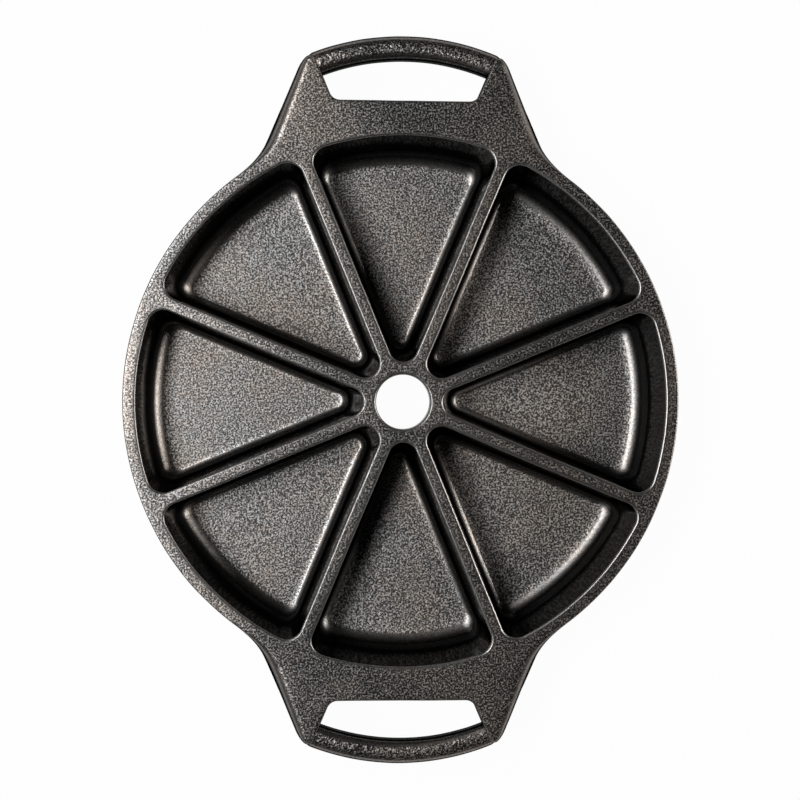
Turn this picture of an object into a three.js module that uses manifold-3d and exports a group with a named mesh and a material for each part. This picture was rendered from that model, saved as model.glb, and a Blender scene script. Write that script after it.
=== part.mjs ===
// Cast iron wedge pan: a round baking mould with eight wedge-shaped wells, a hole
// through its hub and a loop handle at each end.
//
// The real pan is one iron casting. It is built here from the forms that its pattern
// is made of: a flat deck with the well mouths, the hub hole and the handle arms, a
// tapered cup under each mouth, and a round grip bar across each pair of arms. The
// cups meet the deck's underside on one flat plane, and each grip meets its arms on
// two upright planes, so the forms join without a step on any inner wall.
//
// Units are millimetres, +Z is up and +Y runs towards the back handle. The origin is
// on the surface that the pan stands on, under the middle of the hub.

import * as THREE from "three";
import { mergeVertices } from "three/addons/utils/BufferGeometryUtils.js";
import Module from "manifold-3d";

// Driving dimensions of the round pan
const WELL_NAMES = ["right", "back_right", "back", "back_left", "left", "front_left", "front", "front_right"];
const RIM_RADIUS = 117.5;
const RIM_WIDTH = 5.5;
const DIVIDER_WIDTH = 5.5;
const HUB_HOLE_RADIUS = 11.5;
const WELL_DEPTH = 25.5;
const WALL_THICKNESS = 3.2;
const FLOOR_THICKNESS = 4.5;
const LEAST_DECK_THICKNESS = 5;
const SIDE_DRAFT = THREE.MathUtils.degToRad(5); // of the dividers' walls
const RIM_DRAFT = THREE.MathUtils.degToRad(10); // of the wall under the rim

// Rounded corners and edges of the round pan
const MOUTH_TIP_RADIUS = 6;
const MOUTH_CORNER_RADIUS = 6.5;
const LEAST_CORNER_RADIUS = 1.2;
const SIDE_FILLET = 5.5; // between the dividers' walls and the floor
const RIM_FILLET = 9.5; // between the wall under the rim and the floor
const BASE_EDGE_RADIUS = 8;
const EDGE_ROUND = 1;

// Driving dimensions of a handle
const WEB_WIDTH = 9; // from the rim to the finger slot
const SLOT_REACH = 17; // the finger slot at its deepest, in line with the hub
const SLOT_HALF_LENGTH = 30.3; // along the slot's straight edge
const SLOT_CORNER_RADIUS = 2.6;
const ARM_HALF_SPREAD = 50.4; // to the arms' outer edges, level with the slot's straight edge
const ARM_SLOPE = THREE.MathUtils.degToRad(22.8); // of the arms' outer edges and of the slot's ends
const ARM_THICKNESS = 9.4;
const ARM_EDGE_ROUND = 2.6;
const ARM_CORNER_RADIUS = 7;
const ARM_ROOT_RADIUS = 45;
const GRIP_WIDTH = 10.5;
const GRIP_ARC_RADIUS = 106; // of the grip's outer edge
const GRIP_TOP_DROP = 0.6; // the grip's crest lies this far under the deck
const GRIP_LIFT = 0.4; // and its belly this far over the arms' underside

// Clearance between neighbouring cups where they meet the deck
const CUP_GAP = 0.3;

// Facets
const ARC_STEPS = 10;
const CORNER_STEPS = 5;
const TIP_STEPS = 6;
const FILLET_STEPS = 6;
const EDGE_STEPS = 3;
const RIM_STEPS = 96;
const HUB_STEPS = 40;
const GRIP_STEPS = 18;
const GRIP_SIDES = 20;
const HANDLE_ARC_STEPS = 20;
const OVERCUT = 2; // a cutter runs this far past the face that it opens

// Sizes that follow from the driving dimensions
const HEIGHT = WELL_DEPTH + FLOOR_THICKNESS;
const HALF_WEDGE = Math.PI / WELL_NAMES.length;
const MOUTH_RADIUS = RIM_RADIUS - RIM_WIDTH;
const WALL_RUN = WALL_THICKNESS / Math.cos(SIDE_DRAFT); // a divider wall's thickness, measured level
// A divider is solid down to where the walls of its two cups part.
const PARTING_DEPTH = (WALL_RUN - (DIVIDER_WIDTH - CUP_GAP) / 2) / Math.tan(SIDE_DRAFT);
const DECK_THICKNESS = Math.max(LEAST_DECK_THICKNESS, PARTING_DEPTH);
const DECK_UNDERSIDE = Math.fround(HEIGHT - DECK_THICKNESS);
const SLOT_EDGE = RIM_RADIUS + WEB_WIDTH;
const GRIP_INNER = SLOT_EDGE + SLOT_REACH;
const GRIP_OUTER = GRIP_INNER + GRIP_WIDTH;
const GRIP_CENTRE = new THREE.Vector2(0, GRIP_OUTER - GRIP_ARC_RADIUS);

const wasm = await Module();
wasm.setup();

// Solids to and from the boolean library

function toSolid(geometry) {
  const bare = geometry.clone();
  bare.deleteAttribute("normal");
  bare.deleteAttribute("uv");
  const merged = mergeVertices(bare, 1e-4);
  const triVerts = new Uint32Array(merged.index.array);
  return new wasm.Manifold(
    new wasm.Mesh({ numProp: 3, vertProperties: merged.attributes.position.array, triVerts }),
  );
}

function toGeometry(solid) {
  const mesh = solid.getMesh();
  const geometry = new THREE.BufferGeometry();
  geometry.setAttribute("position", new THREE.BufferAttribute(mesh.vertProperties, 3));
  geometry.setIndex(new THREE.BufferAttribute(mesh.triVerts, 1));
  geometry.computeVertexNormals();
  return geometry;
}

// Outlines

function arcPoints(centre, radius, from, to, steps) {
  return Array.from({ length: steps + 1 }, (_, i) => {
    const angle = from + ((to - from) * i) / steps;
    return new THREE.Vector2(
      centre.x + radius * Math.cos(angle),
      centre.y + radius * Math.sin(angle),
    );
  });
}

// A wedge with round corners, its point at the hub and its axis along +X. A level's insets move its
// two straight sides and its outer arc inwards from the mouth's outline, and tighten its corners.
function wedgeOutline(level) {
  const fromDivider = DIVIDER_WIDTH / 2 + level.side;
  const outer = MOUTH_RADIUS - level.arc;
  const tip = Math.max(MOUTH_TIP_RADIUS - level.tight, LEAST_CORNER_RADIUS);
  const corner = Math.max(MOUTH_CORNER_RADIUS - level.tight, LEAST_CORNER_RADIUS);
  const side = Math.PI / 2 + HALF_WEDGE; // the way that the upper side faces
  const tipCentre = new THREE.Vector2((fromDivider + tip) / Math.sin(HALF_WEDGE), 0);
  const reach = outer - corner;
  const turn = HALF_WEDGE - Math.asin((fromDivider + corner) / reach);
  const upper = new THREE.Vector2(reach * Math.cos(turn), reach * Math.sin(turn));
  const lower = new THREE.Vector2(upper.x, -upper.y);
  const hub = new THREE.Vector2(0, 0);
  return [
    ...arcPoints(hub, outer, -turn, turn, ARC_STEPS).slice(0, -1),
    ...arcPoints(upper, corner, turn, side, CORNER_STEPS),
    ...arcPoints(tipCentre, tip, side, 2 * Math.PI - side, TIP_STEPS),
    ...arcPoints(lower, corner, -side, -turn, CORNER_STEPS).slice(0, -1),
  ];
}

// Section of a well. The dividers' walls and the wall under the rim have a draft and a fillet of
// their own, and each inset is the distance that a wall has come in from the mouth at a height.

function wallInset(z, draft) {
  return (HEIGHT - z) * Math.tan(draft);
}

// On the mouth's rounded edge and on the wall under it
function edgeInset(z, draft) {
  const depth = EDGE_ROUND * (1 - Math.sin(draft));
  if (z < HEIGHT - depth) return wallInset(z, draft);
  const centre = depth * Math.tan(draft) - EDGE_ROUND * Math.cos(draft);
  const rise = z - (HEIGHT - EDGE_ROUND);
  return centre + Math.sqrt(Math.max(EDGE_ROUND ** 2 - rise ** 2, 0));
}

// On the wall and on the fillet that ends it at a level face
function footInset(z, face, radius, draft) {
  const top = face + radius * (1 - Math.sin(draft));
  if (z > top) return wallInset(z, draft);
  const centre = wallInset(top, draft) + radius * Math.cos(draft);
  const drop = face + radius - z;
  return centre - Math.sqrt(Math.max(radius ** 2 - drop ** 2, 0));
}

// Distances from a face at even turns of a round that ends on it
function roundDepths(radius, draft, steps) {
  return Array.from({ length: steps + 1 }, (_, i) => {
    const angle = Math.PI / 2 + ((draft - Math.PI / 2) * i) / steps;
    return radius * (1 - Math.sin(angle));
  });
}

// The corners keep their radius down the wall and get tighter where a round moves the side off it.
function levelAt(z, side, arc) {
  return { z, side, arc, tight: side - wallInset(z, SIDE_DRAFT) };
}

function mouthLevel(z) {
  return levelAt(z, edgeInset(z, SIDE_DRAFT), edgeInset(z, RIM_DRAFT));
}

function insideLevel(z) {
  const side = footInset(z, FLOOR_THICKNESS, SIDE_FILLET, SIDE_DRAFT);
  return levelAt(z, side, footInset(z, FLOOR_THICKNESS, RIM_FILLET, RIM_DRAFT));
}

function outsideLevel(z) {
  const side = footInset(z, 0, BASE_EDGE_RADIUS, SIDE_DRAFT) - WALL_RUN;
  return levelAt(z, side, footInset(z, 0, BASE_EDGE_RADIUS, RIM_DRAFT) - RIM_WIDTH);
}

function ring(level) {
  return wedgeOutline(level).map((p) => new THREE.Vector3(p.x, p.y, level.z));
}

// A closed solid through rings of equally many points, with a flat cap at both ends
function loft(rings) {
  const count = rings[0].length;
  const positions = rings.flat().flatMap((p) => [p.x, p.y, p.z]);
  const triangles = [];
  for (let r = 0; r + 1 < rings.length; r++) {
    for (let i = 0; i < count; i++) {
      const next = (i + 1) % count;
      const a = r * count + i;
      const b = r * count + next;
      triangles.push(a, b, b + count, a, b + count, a + count);
    }
  }
  const last = (rings.length - 1) * count;
  for (let i = 1; i + 1 < count; i++) {
    triangles.push(0, i + 1, i, last, last + i, last + i + 1);
  }
  const geometry = new THREE.BufferGeometry();
  geometry.setAttribute("position", new THREE.Float32BufferAttribute(positions, 3));
  geometry.setIndex(triangles);
  return geometry;
}

// One cup: from the middle of its foot up the outside, over its rim and down the inside
function cupGeometry() {
  const foot = roundDepths(BASE_EDGE_RADIUS, SIDE_DRAFT, FILLET_STEPS);
  const floor = roundDepths(RIM_FILLET, RIM_DRAFT, FILLET_STEPS).map((depth) => FLOOR_THICKNESS + depth);
  const outside = [...foot, DECK_UNDERSIDE].map(outsideLevel);
  const inside = [DECK_UNDERSIDE, ...floor.reverse()].map(insideLevel);
  const geometry = loft([...outside, ...inside].map(ring));
  geometry.computeVertexNormals();
  return geometry;
}

// What the deck loses at each mouth
function mouthCutter() {
  const edge = roundDepths(EDGE_ROUND, SIDE_DRAFT, EDGE_STEPS).map((depth) => mouthLevel(HEIGHT - depth));
  const above = { ...edge[0], z: HEIGHT + OVERCUT };
  const foot = mouthLevel(DECK_UNDERSIDE - OVERCUT);
  return toSolid(loft([foot, ...edge.reverse(), above].map(ring)));
}

// The deck's round part: a disc with a drafted edge
function discSolid() {
  const depth = EDGE_ROUND * (1 - Math.sin(RIM_DRAFT));
  const centre = new THREE.Vector2(
    RIM_RADIUS - wallInset(HEIGHT - depth, RIM_DRAFT) - EDGE_ROUND * Math.cos(RIM_DRAFT),
    HEIGHT - EDGE_ROUND,
  );
  const profile = [
    new THREE.Vector2(0, DECK_UNDERSIDE),
    new THREE.Vector2(RIM_RADIUS - wallInset(DECK_UNDERSIDE, RIM_DRAFT), DECK_UNDERSIDE),
    ...arcPoints(centre, EDGE_ROUND, -RIM_DRAFT, Math.PI / 2, EDGE_STEPS),
    new THREE.Vector2(0, HEIGHT),
  ];
  return toSolid(new THREE.LatheGeometry(profile, RIM_STEPS).rotateX(Math.PI / 2));
}

function hubCutter() {
  const top = new THREE.Vector2(HUB_HOLE_RADIUS + EDGE_ROUND, HEIGHT - EDGE_ROUND);
  const bottom = new THREE.Vector2(top.x, DECK_UNDERSIDE + EDGE_ROUND);
  const flare = top.x;
  const profile = [
    new THREE.Vector2(0, DECK_UNDERSIDE - OVERCUT),
    new THREE.Vector2(flare, DECK_UNDERSIDE - OVERCUT),
    ...arcPoints(bottom, EDGE_ROUND, 1.5 * Math.PI, Math.PI, EDGE_STEPS),
    ...arcPoints(top, EDGE_ROUND, Math.PI, Math.PI / 2, EDGE_STEPS),
    new THREE.Vector2(flare, HEIGHT + OVERCUT),
    new THREE.Vector2(0, HEIGHT + OVERCUT),
  ];
  return toSolid(new THREE.LatheGeometry(profile, HUB_STEPS).rotateX(Math.PI / 2));
}

// Handles. The back one is drawn, and the front one is the same turned half round the hub.

// Where the line through a point along a way crosses a circle, on the given side (-1 or 1)
function lineMeetsCircle(point, way, centre, radius, side) {
  const from = point.clone().sub(centre);
  const along = from.dot(way);
  const reach = Math.sqrt(along * along - from.lengthSq() + radius * radius);
  return point.clone().addScaledVector(way, side * reach - along);
}

// Half of the handle's outline, from the middle of the grip round the arm to the rim
function armOutline() {
  const hub = new THREE.Vector2(0, 0);
  const way = new THREE.Vector2(Math.sin(ARM_SLOPE), -Math.cos(ARM_SLOPE));
  const out = new THREE.Vector2(Math.cos(ARM_SLOPE), Math.sin(ARM_SLOPE));
  const arm = new THREE.Vector2(ARM_HALF_SPREAD, SLOT_EDGE);
  const inside = arm.clone().addScaledVector(out, -ARM_CORNER_RADIUS);
  const corner = lineMeetsCircle(
    inside, way, GRIP_CENTRE, GRIP_ARC_RADIUS - ARM_CORNER_RADIUS, -1,
  );
  const outside = arm.clone().addScaledVector(out, ARM_ROOT_RADIUS);
  const root = lineMeetsCircle(outside, way, hub, RIM_RADIUS + ARM_ROOT_RADIUS, -1);
  const cornerTurn = corner.clone().sub(GRIP_CENTRE).angle();
  const rootTurn = root.angle() + Math.PI;
  return [
    ...arcPoints(GRIP_CENTRE, GRIP_ARC_RADIUS, Math.PI / 2, cornerTurn, HANDLE_ARC_STEPS / 2).slice(0, -1),
    ...arcPoints(corner, ARM_CORNER_RADIUS, cornerTurn, ARM_SLOPE, CORNER_STEPS),
    ...arcPoints(root, ARM_ROOT_RADIUS, ARM_SLOPE + Math.PI, rootTurn, CORNER_STEPS),
  ];
}

function mirrored(points) {
  return points.map((p) => new THREE.Vector2(-p.x, p.y)).reverse();
}

// A plate of the arms' thickness, rounded along its edges, with its top level with the deck
function armPlate() {
  const half = armOutline();
  const end = half.at(-1);
  const inner = end.clone().setLength(RIM_RADIUS - RIM_WIDTH);
  const outline = [...half, inner, ...mirrored([...half.slice(1), inner])];
  const plate = new THREE.ExtrudeGeometry(new THREE.Shape(outline), {
    depth: ARM_THICKNESS - 2 * ARM_EDGE_ROUND,
    bevelThickness: ARM_EDGE_ROUND,
    bevelSize: ARM_EDGE_ROUND,
    bevelOffset: -ARM_EDGE_ROUND,
    bevelSegments: EDGE_STEPS,
  });
  return toSolid(plate.translate(0, 0, HEIGHT - ARM_THICKNESS + ARM_EDGE_ROUND));
}

// What is cut from under the plate, so that it is as thin as the deck at the rim and thickens
// to the arms' full depth at the slot
function heelCutter() {
  const bottom = Math.min(HEIGHT - ARM_THICKNESS, DECK_UNDERSIDE) - OVERCUT;
  const profile = new THREE.Shape([
    new THREE.Vector2(0, bottom),
    new THREE.Vector2(SLOT_EDGE, bottom),
    new THREE.Vector2(SLOT_EDGE, HEIGHT - ARM_THICKNESS),
    new THREE.Vector2(RIM_RADIUS, DECK_UNDERSIDE),
    new THREE.Vector2(0, DECK_UNDERSIDE),
  ]);
  const width = 2 * RIM_RADIUS;
  const prism = new THREE.ExtrudeGeometry(profile, { depth: width, bevelEnabled: false });
  // The profile is drawn in Y and Z, and the prism runs along X.
  prism.applyMatrix4(
    new THREE.Matrix4().makeBasis(
      new THREE.Vector3(0, 1, 0), new THREE.Vector3(0, 0, 1), new THREE.Vector3(1, 0, 0),
    ),
  );
  return toSolid(prism.translate(-width / 2, 0, 0));
}

// The finger slot's straight edge and two ends, run out past the grip by the given reach, so that
// the same planes end the arms and the grip
function slotOutline(reach) {
  const spread = SLOT_HALF_LENGTH + reach * Math.tan(ARM_SLOPE);
  const turned = Math.PI / 2 + ARM_SLOPE; // the way that the end rises, mirrored
  const setBack = SLOT_CORNER_RADIUS * Math.tan((Math.PI / 2 - ARM_SLOPE) / 2);
  const corner = new THREE.Vector2(SLOT_HALF_LENGTH - setBack, SLOT_EDGE + SLOT_CORNER_RADIUS);
  const half = [
    ...arcPoints(corner, SLOT_CORNER_RADIUS, -Math.PI / 2, turned - 2 * ARM_SLOPE - Math.PI / 2, CORNER_STEPS),
    new THREE.Vector2(spread, SLOT_EDGE + reach),
  ];
  return [...half, ...mirrored(half)];
}

function slotPrism() {
  const reach = GRIP_OUTER + OVERCUT - SLOT_EDGE;
  const prism = new THREE.ExtrudeGeometry(new THREE.Shape(slotOutline(reach)), {
    depth: ARM_THICKNESS + 2 * OVERCUT,
    bevelEnabled: false,
  });
  return toSolid(prism.translate(0, 0, HEIGHT - ARM_THICKNESS - OVERCUT));
}

// The grip: an oval bar swept along its arc and ended on the slot's two end planes
function gripGeometry() {
  const width = GRIP_WIDTH / 2;
  const height = (ARM_THICKNESS - GRIP_TOP_DROP - GRIP_LIFT) / 2;
  const middle = HEIGHT - GRIP_TOP_DROP - height;
  const radius = GRIP_ARC_RADIUS - width;
  const half = Math.asin((SLOT_HALF_LENGTH + (SLOT_REACH + GRIP_WIDTH) * Math.tan(ARM_SLOPE)) / radius);
  const rings = Array.from({ length: GRIP_STEPS + 1 }, (_, i) => {
    const angle = Math.PI / 2 + half - (2 * half * i) / GRIP_STEPS;
    return Array.from({ length: GRIP_SIDES }, (_, j) => {
      const turn = (2 * Math.PI * j) / GRIP_SIDES;
      const out = radius + width * Math.cos(turn);
      return new THREE.Vector3(
        GRIP_CENTRE.x + out * Math.cos(angle),
        GRIP_CENTRE.y + out * Math.sin(angle),
        middle + height * Math.sin(turn),
      );
    });
  });
  return toGeometry(toSolid(loft(rings)).intersect(slotPrism()));
}

// The deck with its arms, mouths and holes
function deckGeometry() {
  const turn = (solid, angle) => solid.rotate([0, 0, THREE.MathUtils.radToDeg(angle)]);
  const arms = armPlate().subtract(heelCutter()).subtract(slotPrism());
  let deck = discSolid().add(arms).add(turn(arms, Math.PI));
  const mouth = mouthCutter();
  WELL_NAMES.forEach((_, i) => {
    deck = deck.subtract(turn(mouth, 2 * HALF_WEDGE * i));
  });
  return toGeometry(deck.subtract(hubCutter()));
}

// Seasoned cast iron: near black, with a dull shine
const SEASONED_IRON = new THREE.MeshStandardMaterial({ color: 0x2c2a28, roughness: 0.55, metalness: 0.4 });

const pan = new THREE.Group();
pan.name = "wedge_pan";

function addPiece(name, geometry, turn = 0) {
  const mesh = new THREE.Mesh(geometry, SEASONED_IRON);
  mesh.name = name;
  mesh.rotation.z = turn;
  pan.add(mesh);
}

addPiece("deck_plate", deckGeometry());
const cup = cupGeometry();
WELL_NAMES.forEach((name, i) => addPiece(`well_${name}`, cup, 2 * HALF_WEDGE * i));
const grip = gripGeometry();
addPiece("grip_back", grip);
addPiece("grip_front", grip, Math.PI);

export default pan;
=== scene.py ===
# %% [markdown]
# # A cast iron wedge pan
# The pan is a single sand casting: a flat deck with eight wedge-shaped wells, a hole through the hub and
# a loop handle at each end. The CAD frame holds it as eleven solids of one rigid body: a deck, eight cups
# and two grips. This lesson dresses each solid with a finely meshed piece that has the cast edges and
# fillets of the real pan, and then gives the iron its seasoned skin.

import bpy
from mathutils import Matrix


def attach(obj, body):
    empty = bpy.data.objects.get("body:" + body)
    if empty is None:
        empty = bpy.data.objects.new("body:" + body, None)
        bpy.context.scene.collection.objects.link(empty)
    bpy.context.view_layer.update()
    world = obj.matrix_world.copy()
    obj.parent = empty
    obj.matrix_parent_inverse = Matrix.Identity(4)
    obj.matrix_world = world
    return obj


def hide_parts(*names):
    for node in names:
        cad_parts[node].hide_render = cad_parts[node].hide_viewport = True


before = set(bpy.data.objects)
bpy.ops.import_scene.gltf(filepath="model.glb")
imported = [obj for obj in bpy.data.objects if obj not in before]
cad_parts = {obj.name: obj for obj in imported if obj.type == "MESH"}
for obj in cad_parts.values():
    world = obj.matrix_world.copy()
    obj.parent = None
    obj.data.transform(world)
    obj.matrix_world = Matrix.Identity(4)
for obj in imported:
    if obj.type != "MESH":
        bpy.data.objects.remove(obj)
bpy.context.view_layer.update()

import math

import bmesh
import bpy
import numpy as np
from mathutils import Matrix, Vector, kdtree, noise
from mathutils.geometry import delaunay_2d_cdt

# %% [markdown]
# ## Sizes
# The pieces are drawn in millimetres with the driving sizes of the CAD part, so that each one lands on
# its own solid, and they are scaled to metres when the meshes are made. A few rounds further on are
# softer than in the solids, as a casting has them: along the arms, at their corners, in the corners of
# the slots and at the tips of the well floors.

# %% Driving sizes in millimetres
MM = 0.001
WELL_NAMES = ["right", "back_right", "back", "back_left", "left", "front_left", "front", "front_right"]
RIM_RADIUS = 117.5
RIM_WIDTH = 5.5
DIVIDER_WIDTH = 5.5
HUB_HOLE_RADIUS = 11.5
WELL_DEPTH = 25.5
WALL_THICKNESS = 3.2
FLOOR_THICKNESS = 4.5
CUP_GAP = 0.3
SIDE_DRAFT = math.radians(5)
RIM_DRAFT = math.radians(10)
HEIGHT = WELL_DEPTH + FLOOR_THICKNESS
MOUTH_RADIUS = RIM_RADIUS - RIM_WIDTH
HALF_WEDGE = math.pi / len(WELL_NAMES)
WALL_RUN = WALL_THICKNESS / math.cos(SIDE_DRAFT)
DECK_UNDERSIDE = HEIGHT - (WALL_RUN - (DIVIDER_WIDTH - CUP_GAP) / 2) / math.tan(SIDE_DRAFT)
print("deck thickness", round(HEIGHT - DECK_UNDERSIDE, 2), "mm")

# %% [markdown]
# ## Outlines
# Every form of the pan is an outline that changes with height, so two helpers draw arcs and straight
# runs, and a third chains runs whose ends touch into one closed loop. Two more turn points about the hub
# and lift an outline to a height.

# %% Arcs, lines and loops
HUB = np.zeros(2)


def arc(centre, radius, start, end, count):
    turns = np.linspace(start, end, count + 1)
    return np.column_stack((centre[0] + radius * np.cos(turns), centre[1] + radius * np.sin(turns)))


def straight(start, end, count):
    return np.linspace(start, end, count + 1)


def chain(*runs):
    """Join runs whose ends touch into one loop, without the repeated points."""
    return np.vstack([run[:-1] for run in runs])


def turned(points, angle):
    c, s = math.cos(angle), math.sin(angle)
    result = np.array(points, dtype=float)
    result[:, 0] = c * points[:, 0] - s * points[:, 1]
    result[:, 1] = s * points[:, 0] + c * points[:, 1]
    return result


def lifted(loop, z):
    return np.column_stack((loop, np.broadcast_to(z, len(loop))))


print("a half circle as a run:", arc(HUB, 1.0, 0, math.pi, 4).round(2).tolist())

# %% [markdown]
# ## The well's section
# From the deck down, a well has a small rounded edge, a straight drafted wall and a fillet into its
# floor. The dividers are steep and have a tight fillet, and the wall under the rim leans more and has a
# wide one, so each has its own draft and radius. An inset says how far the wall has come in from the
# mouth's outline at a height.

# %% Insets of the walls at a height
EDGE_ROUND = 1.0
SIDE_FILLET = 5.5
RIM_FILLET = 9.5
BASE_EDGE_RADIUS = 8.0


def wall_inset(z, draft):
    return (HEIGHT - z) * math.tan(draft)


def edge_inset(z, draft):
    """At the mouth's rounded edge and on the wall under it."""
    depth = EDGE_ROUND * (1 - math.sin(draft))
    if z < HEIGHT - depth:
        return wall_inset(z, draft)
    centre = depth * math.tan(draft) - EDGE_ROUND * math.cos(draft)
    rise = z - (HEIGHT - EDGE_ROUND)
    return centre + math.sqrt(max(EDGE_ROUND**2 - rise**2, 0))


def foot_inset(z, level, radius, draft):
    """On the wall and on the fillet that ends it at a level face."""
    top = level + radius * (1 - math.sin(draft))
    if z > top:
        return wall_inset(z, draft)
    centre = wall_inset(top, draft) + radius * math.cos(draft)
    drop = level + radius - z
    return centre - math.sqrt(max(radius**2 - drop**2, 0))


floor_start = foot_inset(FLOOR_THICKNESS, FLOOR_THICKNESS, RIM_FILLET, RIM_DRAFT)
print("floor begins", round(floor_start, 1), "mm inside the mouth")

# %% [markdown]
# ## The wedge
# A well's mouth is a wedge with a round tip towards the hub and round outer corners. Down the wall the
# corners keep their radius, as a pattern maker's cutter leaves them, and round the fillet they get
# tighter, so that each outer corner ends as a small bowl, while the tip stays blunter. The outside of a
# cup is the same outline with a negative inset.

# %% Wedge outline at a level
MOUTH_TIP_RADIUS = 6.0
MOUTH_CORNER_RADIUS = 6.5
LEAST_CORNER_RADIUS = 0.9
LEAST_TIP_RADIUS = 3.4
ARC_POINTS = 60
CORNER_POINTS = 14
SIDE_POINTS = 62
TIP_POINTS = 20


def wedge(z, side_inset, arc_inset):
    from_divider = DIVIDER_WIDTH / 2 + side_inset
    outer = MOUTH_RADIUS - arc_inset
    tightening = side_inset - wall_inset(z, SIDE_DRAFT)
    tip = max(MOUTH_TIP_RADIUS - tightening, LEAST_TIP_RADIUS)
    corner = max(MOUTH_CORNER_RADIUS - tightening, LEAST_CORNER_RADIUS)
    facing = math.pi / 2 + HALF_WEDGE
    tip_centre = np.array([(from_divider + tip) / math.sin(HALF_WEDGE), 0.0])
    reach = outer - corner
    turn = HALF_WEDGE - math.asin((from_divider + corner) / reach)
    upper = reach * np.array([math.cos(turn), math.sin(turn)])
    lower = upper * [1, -1]
    rim = arc(HUB, outer, -turn, turn, ARC_POINTS)
    first_corner = arc(upper, corner, turn, facing, CORNER_POINTS)
    tip_arc = arc(tip_centre, tip, facing, 2 * math.pi - facing, TIP_POINTS)
    last_corner = arc(lower, corner, -facing, -turn, CORNER_POINTS)
    return chain(
        rim,
        first_corner,
        straight(first_corner[-1], tip_arc[0], SIDE_POINTS),
        tip_arc,
        straight(tip_arc[-1], last_corner[0], SIDE_POINTS),
        last_corner,
    )


print("points round a well:", len(wedge(HEIGHT, 0, 0)))

# %% [markdown]
# ## Levels
# The wells are lofted through a stack of wedges, which is close where the section bends and wider on the
# straight walls. Cutting a solid wedge out of a plate would be shorter, but a loft gives even quads that
# follow the fillets. Under the rim, the outside of a cup stands back by a narrow ledge.

# %% Loops down a well
LEVEL_STEP = 1.5
LEDGE = 0.8
EDGE_LEVELS = 8
FLOOR_STEPS = 18
BASE_STEPS = 12


def heights_between(top, bottom):
    return list(np.linspace(top, bottom, max(1, round((top - bottom) / LEVEL_STEP)) + 1))


def round_heights(level, radius, draft, count):
    """Heights at even turns down a fillet."""
    return [level + radius * (1 - math.sin(t)) for t in np.linspace(draft, math.pi / 2, count + 1)]


def mouth_loop(z):
    return lifted(wedge(z, edge_inset(z, SIDE_DRAFT), edge_inset(z, RIM_DRAFT)), z)


def inside_loop(z):
    side = foot_inset(z, FLOOR_THICKNESS, SIDE_FILLET, SIDE_DRAFT)
    return lifted(wedge(z, side, foot_inset(z, FLOOR_THICKNESS, RIM_FILLET, RIM_DRAFT)), z)


def outside_wedge(z):
    side = foot_inset(z, 0, BASE_EDGE_RADIUS, SIDE_DRAFT) - WALL_RUN
    return wedge(z, side, foot_inset(z, 0, BASE_EDGE_RADIUS, RIM_DRAFT) - RIM_WIDTH + LEDGE)


edge_turns = np.linspace(math.pi / 2, SIDE_DRAFT, EDGE_LEVELS)
mouth_heights = [HEIGHT - EDGE_ROUND * (1 - math.sin(t)) for t in edge_turns]
mouth_heights += heights_between(mouth_heights[-1], DECK_UNDERSIDE)[1:]
floor_heights = round_heights(FLOOR_THICKNESS, RIM_FILLET, RIM_DRAFT, FLOOR_STEPS)
inside_heights = heights_between(DECK_UNDERSIDE, floor_heights[0])[:-1] + floor_heights
base_heights = round_heights(0, BASE_EDGE_RADIUS, SIDE_DRAFT, BASE_STEPS)
print("levels in a cup:", len(inside_heights), "and at its foot:", len(base_heights))

# %% [markdown]
# ## The handles' outline
# Each handle is a plate that grows out of the rim in a wide fillet and narrows along two slanted arms.
# The arms end on the slanted ends of the finger slot, and a round grip bar joins them. A quarter of the
# outline without the grips is drawn, and mirrored for the other three. Each run of it carries the radius
# of its top and bottom edges: small at the rim, large along the arms.

# %% Outline of the deck with its arms
WEB_WIDTH = 9.0
SLOT_REACH = 17.0
SLOT_HALF_LENGTH = 30.3
SLOT_CORNER_RADIUS = 4.6
ARM_HALF_SPREAD = 50.4
ARM_SLOPE = math.radians(22.8)
ARM_THICKNESS = 9.4
ARM_CORNER_RADIUS = 15.0
ARM_ROOT_RADIUS = 45.0
ARM_TIP_RADIUS = 2.6
GRIP_WIDTH = 10.5
GRIP_ARC_RADIUS = 106.0
SLOT_EDGE = RIM_RADIUS + WEB_WIDTH
GRIP_OUTER = SLOT_EDGE + SLOT_REACH + GRIP_WIDTH
GRIP_CENTRE = np.array([0.0, GRIP_OUTER - GRIP_ARC_RADIUS])
POINT_STEP = 1.3
LEAST_STEPS = 3
ROOT_STEPS = 24
ARM_CORNER_STEPS = 14
ARM_TIP_STEPS = 12
SLOT_CORNER_STEPS = 10
SLOT_END_STEPS = 18
WEB_STEPS = 24
SMOOTHING = 6
RIM_ROUNDS = (0.7, 0.3)
ARM_ROUNDS = (5.6, 3.0)
CORNER_ROUNDS = (4.2, 2.4)
TIP_ROUNDS = (2.4, 1.6)
SLOT_ROUNDS = (1.0, 1.0)


def line_meets_circle(point, way, centre, radius):
    """Where a line leaves a circle, along its way."""
    start = point - centre
    along = start @ way
    return point + way * (math.sqrt(along**2 - start @ start + radius**2) - along)


def steps_for(length):
    return max(LEAST_STEPS, round(length / POINT_STEP))


def angle_of(offset):
    return math.atan2(offset[1], offset[0])


rise = np.array([math.sin(ARM_SLOPE), math.cos(ARM_SLOPE)])
slot_end = np.array([SLOT_HALF_LENGTH, SLOT_EDGE])


def smooth_step(low, high, value):
    t = np.clip((value - low) / (high - low), 0, 1)
    return t * t * (3 - 2 * t)


def with_rounds(run, first, last):
    """A run with two more columns: the radii of its top and bottom edges, growing from first to last."""
    share = smooth_step(0, 1, np.linspace(0, 1, len(run)))[:, None]
    return np.hstack((run, np.array(first) * (1 - share) + np.array(last) * share))


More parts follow.
